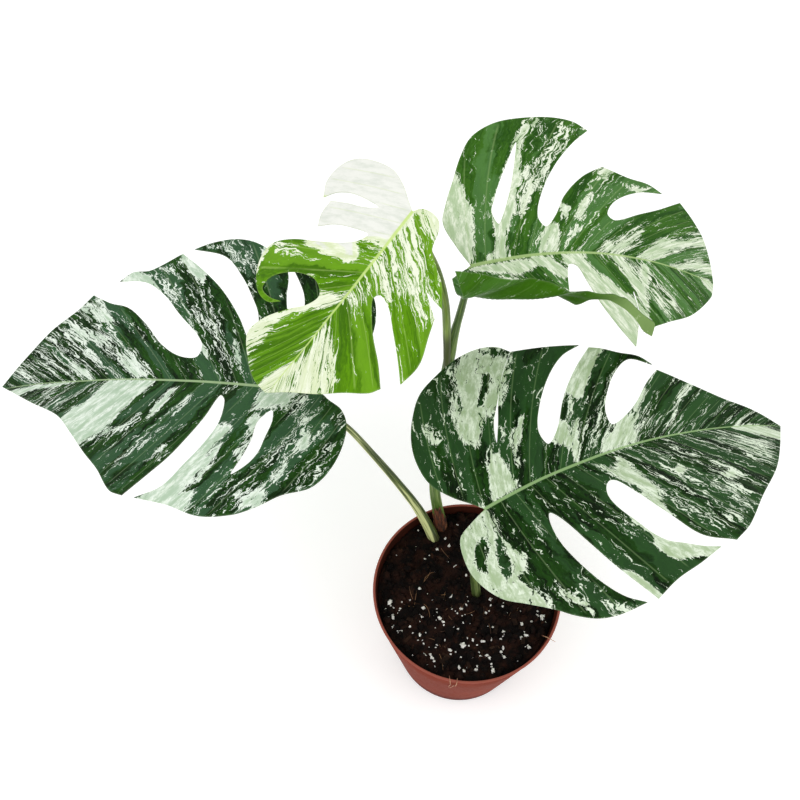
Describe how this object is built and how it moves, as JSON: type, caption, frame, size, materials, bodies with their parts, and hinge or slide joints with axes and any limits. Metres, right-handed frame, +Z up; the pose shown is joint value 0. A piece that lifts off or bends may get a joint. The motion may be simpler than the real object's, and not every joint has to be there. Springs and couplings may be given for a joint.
{
  "type": "potted variegated monstera deliciosa",
  "caption": "Young variegated monstera with large split leaves on arching stalks, planted in potting mix in a tapered round nursery pot.",
  "frame": {"origin": "centre of the flat middle of the pot's bottom, on the surface that the pot stands on", "axes": "+Z up along the pot's axis, +X to the right and +Y to the back as seen in the picture"},
  "size_m": [0.5501, 0.3432, 0.3881],
  "materials": {
    "pot_plastic": "satin terracotta-coloured plastic, paler at the rim",
    "potting_mix": "moist dark crumb with white perlite and bark chips",
    "dried_sheath": "dry papery brown with pale torn edges",
    "leaf_stalk": "smooth waxy olive green with cream stripes",
    "leaf_dark": "satin dark green with cream white sectors and streaks",
    "leaf_lime": "soft lime green with a white quarter and streaks",
    "leaf_mid": "satin mid green with cream white bands and streaks"
  },
  "bodies": {
    "root": {"pot": "pot_plastic", "potting_mix": "potting_mix", "dried_sheath": "dried_sheath", "petiole_left": "leaf_stalk", "petiole_front_right": "leaf_stalk", "petiole_back_right": "leaf_stalk", "petiole_centre": "leaf_stalk", "blade_left": "leaf_dark", "blade_centre": "leaf_lime", "blade_front_right": "leaf_dark", "blade_back_right": "leaf_mid"}
  },
  "joints": []
}
